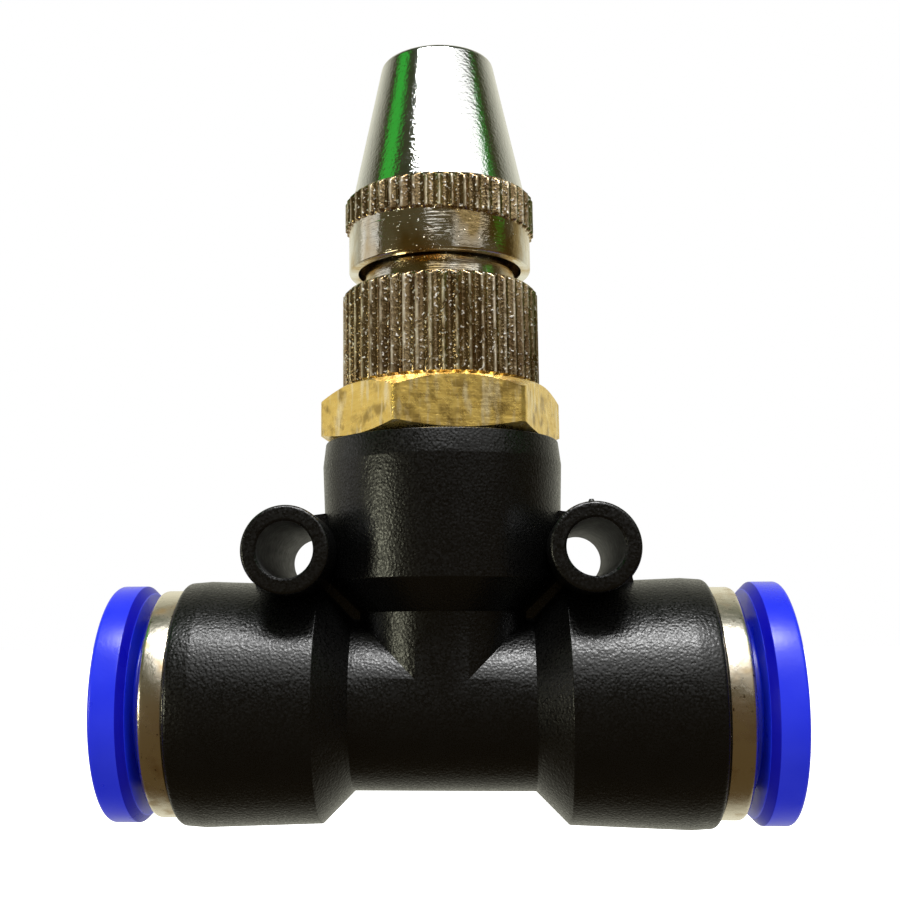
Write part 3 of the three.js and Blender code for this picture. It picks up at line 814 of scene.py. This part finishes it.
def port(side):
    name = "right" if side > 0 else "left"
    finish(lip_seal(name, side), RUBBER, "tee", "seal_rubber", name + "_lip_seal")
    finish(spacer_ring(name, side), GREY, "tee", "grey_plastic", name + "_spacer_ring")
    finish(grab_ring(name, side), STEEL, "tee", "stainless", name + "_grab_ring")
    finish(retaining_sleeve(name, side), NICKEL, "tee", "nickel_plate", name + "_retaining_sleeve")
    collet = release_collet(name, side)
    finish(collet, BLUE, name + "_button", "blue_plastic", name + "_release_collet")
    # The flange's chamfer gets the painted-shade blue
    paint_chamfer_shade(collet, side, port_reach(name + "_release_collet")[1] - COLLET_FLANGE_THICKNESS)


# ---- Branch stud --------------------------------------------------------------------------------

def hex_reach(angle):
    """How far out the hexagon reaches at an angle, with its corners turned down."""
    away = (angle - math.radians(HEX_TURN)) % (math.pi / 3) - math.pi / 6
    return min(HEX_FLATS / 2 / math.cos(away), HEX_CORNER_RADIUS)


def helix(radius, depth, pitch, angle, height):
    """The radius of a thread of vee section at an angle and height."""
    along = (height / pitch - angle / (2 * math.pi)) % 1
    return radius - depth * abs(2 * along - 1)


def branch_stud():
    ring_low, ring_high = cad_size("stud_o_ring")
    bottom = STUD_LOW.z
    top = STUD_HIGH.z
    lead_in, lead_up = STUD_LEAD
    ring_bottom = ring_low.z - RING_PLAY
    ring_top = ring_high.z + RING_PLAY
    thread_rows = steps(HEX_TOP + THREAD_LEAD, top - THREAD_DEPTH, THREAD_ROW)

    def outline(angle):
        reach = hex_reach(angle)
        corner = max(0, reach - HEX_EDGE_RADIUS) / (HEX_CORNER_RADIUS - HEX_EDGE_RADIUS)
        points = [
            (PASSAGE_RADIUS, bottom),
            (STUD_RADIUS - lead_in, bottom),
            (STUD_RADIUS, bottom + lead_up),
            (STUD_RADIUS, ring_bottom),
            (RING_GROOVE_RADIUS, ring_bottom),
            (RING_GROOVE_RADIUS, ring_top),
            (STUD_RADIUS, ring_top),
            (STUD_RADIUS, CLIP_LOW.z - 2 * FIT),
            (CLIP_GROOVE_RADIUS, CLIP_LOW.z - 2 * FIT),
            (CLIP_GROOVE_RADIUS, CLIP_HIGH.z + 2 * FIT),
            (STUD_RADIUS, CLIP_HIGH.z + 2 * FIT),
            (STUD_RADIUS, HEX_BOTTOM),
            (HEX_EDGE_RADIUS, HEX_BOTTOM),
            (reach, HEX_BOTTOM + HEX_BOTTOM_DROP * corner),
            (reach, HEX_TOP - HEX_TOP_DROP * corner),
            (HEX_EDGE_RADIUS, HEX_TOP),
            (THREAD_RADIUS, HEX_TOP),
        ]
        for height in thread_rows:
            points.append((helix(THREAD_RADIUS, THREAD_DEPTH, THREAD_PITCH, angle, height), height))
        points += [
            (THREAD_RADIUS - THREAD_DEPTH, top),
            (PASSAGE_RADIUS + SMALL_CHAMFER, top),
            (PASSAGE_RADIUS, top - SMALL_CHAMFER),
        ]
        return points

    finish(turned("hex_stud", outline, columns=360), BRASS, "outlet", "brass", "branch_stud")


def o_ring(name, node, body):
    low, high = cad_size(node)
    section = (high.z - low.z) / 2
    height = (high.z + low.z) / 2
    radius = high.x - section
    circle = []
    for step in range(RING_FACETS):
        turn = 2 * math.pi * step / RING_FACETS
        circle.append((radius + section * math.cos(turn), height + section * math.sin(turn)))
    finish(turned(name, circle), RUBBER, body, "seal_rubber", node)


def gasket():
    low, high = cad_size("stud_gasket")
    outline = rounded([
        (GASKET_BORE_RADIUS, low.z, 0.1),
        (high.x, low.z, 0.1),
        (high.x, high.z, 0.1),
        (GASKET_BORE_RADIUS, high.z, 0.1),
    ])
    finish(turned("flat_gasket", outline), RUBBER, "outlet", "seal_rubber", "stud_gasket")


# ---- Spray outlet -------------------------------------------------------------------------------

def rib_depth(angle):
    """How far a straight knurl cuts in at an angle: narrow crests, wide rounded valleys."""
    along = (angle * KNURL_RIBS / (2 * math.pi)) % 1
    off = max(0, abs(2 * along - 1) - KNURL_CREST) / (1 - KNURL_CREST)
    return KNURL_DEPTH * (1 - (1 - off) ** KNURL_ROUND)


def knurl_points(radius, angle, low, high):
    """The knurl's outline between two heights, turned down at 45 degrees at its top."""
    ribs = radius - rib_depth(angle)
    points = [(ribs, height) for height in steps(low, high - KNURL_CHAMFER, KNURL_ROW)]
    for down in steps(0, KNURL_CHAMFER, KNURL_CHAMFER_ROW)[1:]:
        points.append((min(ribs, radius - down), high - KNURL_CHAMFER + down))
    return points


def stem_port():
    """The hole across the stem that lets the flow out round the needle."""
    outline = [
        (0, -NECK_RADIUS),
        (STEM_PORT_RADIUS, -NECK_RADIUS),
        (STEM_PORT_RADIUS, NECK_RADIUS),
        (0, NECK_RADIUS),
    ]
    centre = (0, 0, (NECK_TOP + STEM_TOP) / 2)
    return turned("side_port", outline, columns=24, axis="X", centre=centre)


def nozzle_base():
    bottom = BASE_LOW.z
    top = BASE_HIGH.z
    neck = rounded([
        (BASE_RADIUS - KNURL_CHAMFER - 0.2, BASE_TOP),
        (SHOULDER_RADIUS, BASE_TOP, 0.15),
        (SHOULDER_RADIUS, SHOULDER_TOP, 0.15),
        (NECK_RADIUS, SHOULDER_TOP, 0.1),
        (NECK_RADIUS, NECK_THREAD_START),
        (NECK_RADIUS - SMALL_CHAMFER, NECK_THREAD_START + SMALL_CHAMFER),
    ])
    stem = [
        (STEM_RADIUS, NECK_TOP),
        (STEM_RADIUS, STEM_TOP - SMALL_CHAMFER),
        (STEM_RADIUS - SMALL_CHAMFER, STEM_TOP),
        (BOSS_RADIUS, STEM_TOP),
        (BOSS_RADIUS, top - SMALL_CHAMFER),
        (BOSS_RADIUS - SMALL_CHAMFER, top),
        (NEEDLE_HIGH.x + FIT, top),
        (NEEDLE_HIGH.x + FIT, STEM_TOP),
        (STEM_BORE_RADIUS, STEM_TOP),
        (STEM_BORE_RADIUS, SOCKET_ROOF),
        (SOCKET_RADIUS, SOCKET_ROOF),
    ]
    thread_rows = steps(NECK_THREAD_START + THREAD_LEAD, NECK_TOP - NECK_THREAD_ROW, NECK_THREAD_ROW)

    def outline(angle):
        points = [(SOCKET_RADIUS, bottom), (BASE_RADIUS - KNURL_DEPTH - 0.1, bottom)]
        points += knurl_points(BASE_RADIUS, angle, bottom + 0.2, BASE_TOP) + neck
        for height in thread_rows:
            reach = helix(NECK_RADIUS, NECK_THREAD_DEPTH, NECK_THREAD_PITCH, angle, height)
            points.append((reach, height))
        return points + stem

    def above_knurl(radius, height):
        return radius < BASE_RADIUS - KNURL_CHAMFER - 0.1

    base = turned("knurled_base", outline, columns=KNURL_RIBS * RIB_COLUMNS)
    combine(base, stem_port(), "DIFFERENCE")
    finish(smooth(base), BASE_KNURL, "outlet", "nickel_plate", "nozzle_base")
    use_material(base, SKIRT_PLATE, above_knurl)


def use_material(piece, material, chosen):
    """Gives one more material to the faces that a test of their radius and height chooses."""
    piece.data.materials.append(material)
    slot = len(piece.data.materials) - 1
    for face in piece.data.polygons:
        radius = Vector(face.center[:2]).length / MM
        if chosen(radius, face.center.z / MM):
            face.material_index = slot


def needle():
    bottom = NEEDLE_LOW.z
    outline = rounded([
        (0, bottom),
        (NEEDLE_HIGH.x, bottom, 0.1),
        (NEEDLE_HIGH.x, bottom + NEEDLE_GRIP, 0.2),
        (NEEDLE_TIP_RADIUS, NEEDLE_HIGH.z, 0.1),
        (0, NEEDLE_HIGH.z),
    ])
    finish(turned("flow_needle", outline, columns=96), STEEL, "outlet", "stainless", "needle")


def spray_sleeve():
    mouth = NOZZLE_LOW.z
    top = NOZZLE_HIGH.z
    groove_low = RING_LOW.z - SLEEVE_GROOVE_PLAY
    groove_high = RING_HIGH.z + SLEEVE_GROOVE_PLAY
    thread_radius = NECK_RADIUS + THREAD_FIT
    skirt_bore_radius = NECK_RADIUS + 2 * THREAD_FIT
    lead_out, lead_in = ORIFICE_LEAD
    rim = rounded([
        (MOUTH_RADIUS, MOUTH_TOP),
        (MOUTH_RADIUS, mouth, 0.12),
        (SKIRT_RADIUS, mouth, 0.16),
        (SKIRT_RADIUS, mouth + 1),
    ])
    tip = rounded([
        (CONE_ROOT_RADIUS, BAND_TOP + 0.1),
        (CONE_TOP_RADIUS, top, CONE_EDGE_ROUND),
        (ORIFICE_RADIUS + lead_out, top, 0.1),
        (ORIFICE_RADIUS, top - lead_in),
    ])
    inside = [
        (ORIFICE_RADIUS, ORIFICE_START),
        (CHAMBER_TOP_RADIUS, CHAMBER_TOP),
        (CHAMBER_RADIUS, CHAMBER_BOTTOM),
        (thread_radius, CHAMBER_BOTTOM),
        (thread_radius, groove_high),
        (SLEEVE_GROOVE_RADIUS, groove_high),
        (SLEEVE_GROOVE_RADIUS, groove_low),
        (skirt_bore_radius, groove_low),
        (skirt_bore_radius, MOUTH_TOP),
    ]
    edge_rows = steps(BAND_BOTTOM - BAND_EDGE_REACH, BAND_BOTTOM + BAND_EDGE_REACH, BAND_EDGE_ROW)

    def outline(angle):
        turned_angle = angle + BAND_KNURL_TURN
        ribs = BAND_RADIUS - rib_depth(turned_angle)
        start = BAND_BOTTOM - BAND_SLANT * math.cos(angle)
        points = list(rim)
        for height in edge_rows:
            rise = min(1, max(0, (height - start) / BAND_EDGE + 0.5))
            points.append((SKIRT_RADIUS + (ribs - SKIRT_RADIUS) * rise, height))
        points += knurl_points(BAND_RADIUS, turned_angle, BAND_BOTTOM + 0.6, BAND_TOP)
        return points + [(CONE_ROOT_RADIUS + 0.03, BAND_TOP)] + tip + inside

    def on_band(radius, height):
        return radius > CONE_ROOT_RADIUS + 2 * NEAR and height < BAND_TOP + NEAR

    def on_skirt(radius, height):
        beside_band = radius < SKIRT_RADIUS + NEAR and height < BAND_BOTTOM + BAND_SLANT
        return beside_band or height < BAND_BOTTOM - BAND_SLANT

    sleeve = turned("spray_cone", outline, columns=KNURL_RIBS * RIB_COLUMNS)
    finish(sleeve, CHROME, "sleeve", "chrome_plate", "spray_sleeve")
    use_material(sleeve, BAND_KNURL, on_band)
    use_material(sleeve, SKIRT_PLATE, on_skirt)


# ---- Set, light and camera ----------------------------------------------------------------------

DIM_ROOM = (0.078, 0.052, 0.021)
UPPER_ROOM = (0.03, 0.042, 0.018)
BACKDROP = (0.78, 0.77, 0.64)
GREENERY = (0.01, 1.0, 0.07)
DAYLIGHT = (1.0, 1.0, 0.75)
LIT_POINT = (0, 0, 15)  # what the lights face

CAMERA_TARGET = (-3.5, 0, 15.26)
CAMERA_AZIMUTH = 4.31
CAMERA_ELEVATION = -8.3
CAMERA_DISTANCE = 77.08
CAMERA_ROLL = -0.3
CAMERA_LENS = 50
CAMERA_SHIFT = 0.0725


def studio_floor():
    """A pale floor under and behind the object, which reflections don't show."""
    left, right, front, back, height = -1.5, 1.5, 0.01, 2.5, -0.03
    corners = [(left, front, height), (right, front, height), (right, back, height), (left, back, height)]
    floor = mesh_object("floor", corners, [(0, 1, 2, 3)])
    surface = Surface("pale_floor").set(Roughness=0.6, Emission_Color=(1, 1, 1, 1), Emission_Strength=1.0)
    surface.colour(surface.colours(surface.noise(20, 2), (0.86, 0.86, 0.86), (0.9, 0.9, 0.9)))
    floor.data.materials.append(surface.material)
    floor.visible_glossy = False


def towards(azimuth, elevation):
    """The direction from the object to something: azimuth 0 is the front, 90 is +X."""
    turn = math.radians(azimuth)
    rise = math.radians(elevation)
    flat = math.cos(rise)
    return Vector((flat * math.sin(turn), -flat * math.cos(turn), math.sin(rise)))


def panel(name, azimuth, elevation, distance, size, brightness, colour=(1, 1, 1)):
    """A soft rectangular light that faces the object; its brightness is that of its surface."""
    data = bpy.data.lights.new(name, "AREA")
    data.shape = "RECTANGLE"
    data.size = size[0] * MM
    data.size_y = size[1] * MM
    data.energy = brightness * math.pi * data.size * data.size_y
    data.color = colour
    light = bpy.data.objects.new(name, data)
    bpy.context.collection.objects.link(light)
    out = towards(azimuth, elevation)
    light.location = (Vector(LIT_POINT) + out * distance) * MM
    light.rotation_mode = "QUATERNION"
    light.rotation_quaternion = (-out).to_track_quat("-Z", "Y")


def surroundings():
    """What gloss mirrors: pale behind the object, dim and brown in front. All else sees white."""
    world = bpy.data.worlds.new("studio")
    bpy.context.scene.world = world
    world.use_nodes = True
    world.cycles.sampling_method = "NONE"
    nodes = world.node_tree.nodes
    links = world.node_tree.links
    direction = nodes.new("ShaderNodeSeparateXYZ")
    links.new(nodes.new("ShaderNodeTexCoord").outputs["Generated"], direction.inputs[0])

    def fade(axis, low, high, first, second):
        """A colour that goes from the first to the second as the direction's part along an axis does."""
        share = nodes.new("ShaderNodeMapRange")
        share.inputs["From Min"].default_value = low
        share.inputs["From Max"].default_value = high
        links.new(direction.outputs[axis], share.inputs["Value"])
        mix = nodes.new("ShaderNodeMix")
        mix.data_type = "RGBA"
        links.new(share.outputs["Result"], mix.inputs["Factor"])
        for name, value in (("A", first), ("B", second)):
            if isinstance(value, tuple):
                mix.inputs[name].default_value = (*value, 1)
            else:
                links.new(value, mix.inputs[name])
        return mix.outputs["Result"]

    room = fade("Z", 0.0, 0.9, DIM_ROOM, UPPER_ROOM)
    around = fade("Y", 0.2, 0.85, room, BACKDROP)
    lit = nodes["Background"]
    links.new(around, lit.inputs["Color"])
    seen = nodes.new("ShaderNodeBackground")
    seen.inputs["Color"].default_value = (1, 1, 1, 1)
    choice = nodes.new("ShaderNodeMixShader")
    links.new(nodes.new("ShaderNodeLightPath").outputs["Is Glossy Ray"], choice.inputs["Fac"])
    links.new(seen.outputs[0], choice.inputs[1])
    links.new(lit.outputs[0], choice.inputs[2])
    links.new(choice.outputs[0], nodes["World Output"].inputs["Surface"])


def studio_light():
    surroundings()
    panel("right_lamp", azimuth=14, elevation=60, distance=240, size=(100, 55), brightness=26)
    panel("left_lamp", azimuth=-31, elevation=60, distance=240, size=(40, 55), brightness=26)
    panel("front_wall", azimuth=27, elevation=46, distance=260, size=(360, 150), brightness=1.3)
    panel("shelf", azimuth=38, elevation=17, distance=260, size=(170, 50), brightness=0.45)
    panel("left_window", azimuth=-58, elevation=-4, distance=220, size=(60, 50),
          brightness=8, colour=DAYLIGHT)
    panel("left_wall", azimuth=-96, elevation=12, distance=260, size=(150, 120), brightness=0.6)
    panel("left_door", azimuth=-82, elevation=43, distance=260, size=(78, 110),
          brightness=0.36, colour=GREENERY)
    panel("right_door", azimuth=83, elevation=34, distance=260, size=(55, 150),
          brightness=0.16, colour=GREENERY)


def studio_camera():
    back = towards(CAMERA_AZIMUTH, CAMERA_ELEVATION)
    data = bpy.data.cameras.new("camera")
    data.lens = CAMERA_LENS
    data.sensor_width = 36
    data.shift_x = CAMERA_SHIFT
    data.clip_start = 0.001
    data.clip_end = 10
    camera = bpy.data.objects.new("camera", data)
    bpy.context.collection.objects.link(camera)
    camera.location = (Vector(CAMERA_TARGET) + back * CAMERA_DISTANCE) * MM
    camera.rotation_mode = "QUATERNION"
    roll = Quaternion((0, 0, 1), math.radians(CAMERA_ROLL))
    camera.rotation_quaternion = (-back).to_track_quat("-Z", "Y") @ roll
    bpy.context.scene.camera = camera


# ---- The scene ----------------------------------------------------------------------------------

tee_body()
port(-1)
port(1)
branch_stud()
o_ring("stud_seal", "stud_o_ring", "outlet")
gasket()
nozzle_base()
needle()
o_ring("skirt_seal", "sleeve_o_ring", "sleeve_seal")
spray_sleeve()
bpy.data.objects["stud_clip"].material_slots[0].material = STEEL

studio_floor()
studio_light()
studio_camera()
bpy.context.scene.view_settings.view_transform = "Standard"
